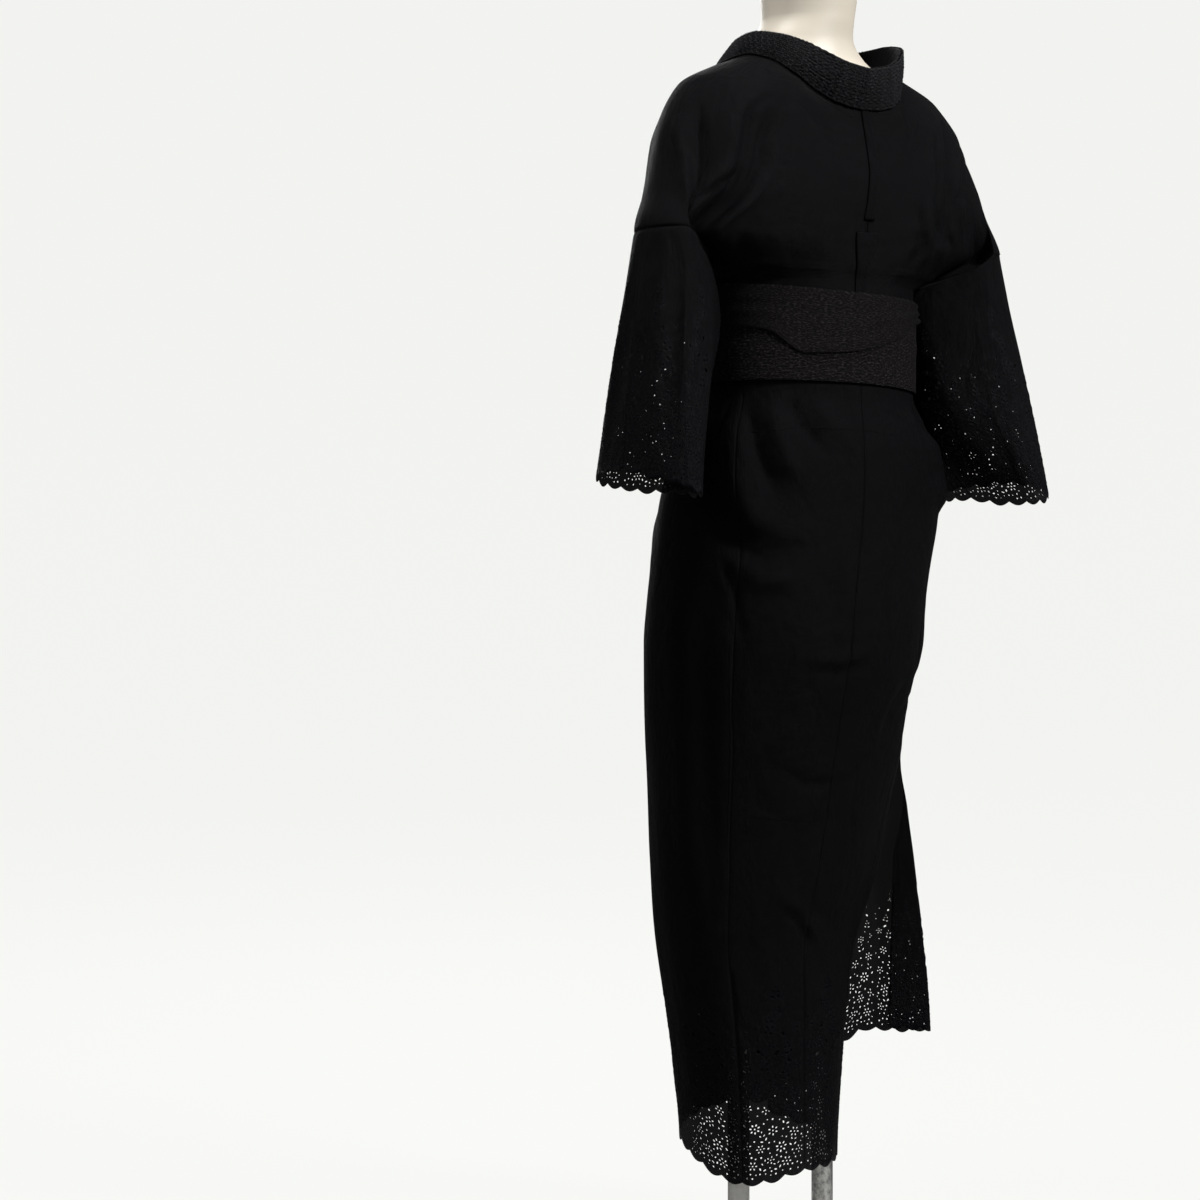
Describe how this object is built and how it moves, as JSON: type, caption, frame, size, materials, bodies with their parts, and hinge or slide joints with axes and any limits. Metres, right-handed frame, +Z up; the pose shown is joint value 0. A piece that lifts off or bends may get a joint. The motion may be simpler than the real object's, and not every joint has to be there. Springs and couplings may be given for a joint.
{
  "type": "juban on a dress form",
  "caption": "Long black kimono-style under-robe with eyelet-lace hem and sleeves, tied with a wound belt and worn by a limbless dress form on a two-pole stand.",
  "frame": {"origin": "centre of the stand base's underside, on the floor", "axes": "+Z up, the wearer faces -Y, the wearer's left is +X"},
  "size_m": [0.562, 0.39, 1.47],
  "materials": {
    "cloth": "matte cotton lawn",
    "lace": "embroidered eyelet lace, slightly satin",
    "belt": "crepe with a heathered grain",
    "form": "smooth satin",
    "pole_left": "satin",
    "pole_right": "worn bright metal",
    "base": "matte"
  },
  "bodies": {
    "root": {"stand_base": "base", "stand_pole_left": "pole_left", "stand_pole_right": "pole_right", "dress_form": "form", "left_body_panel": "cloth", "right_body_panel": "cloth", "left_overlap_panel": "cloth", "right_overlap_panel": "cloth", "left_sleeve_back": "lace", "left_sleeve_front": "lace", "right_sleeve_back": "lace", "right_sleeve_front": "lace", "collar": "cloth", "half_collar": "lace", "belt_first_wrap": "belt", "belt_second_wrap": "belt", "back_strap_loop": "cloth", "back_strap_tab": "cloth"}
  },
  "joints": []
}
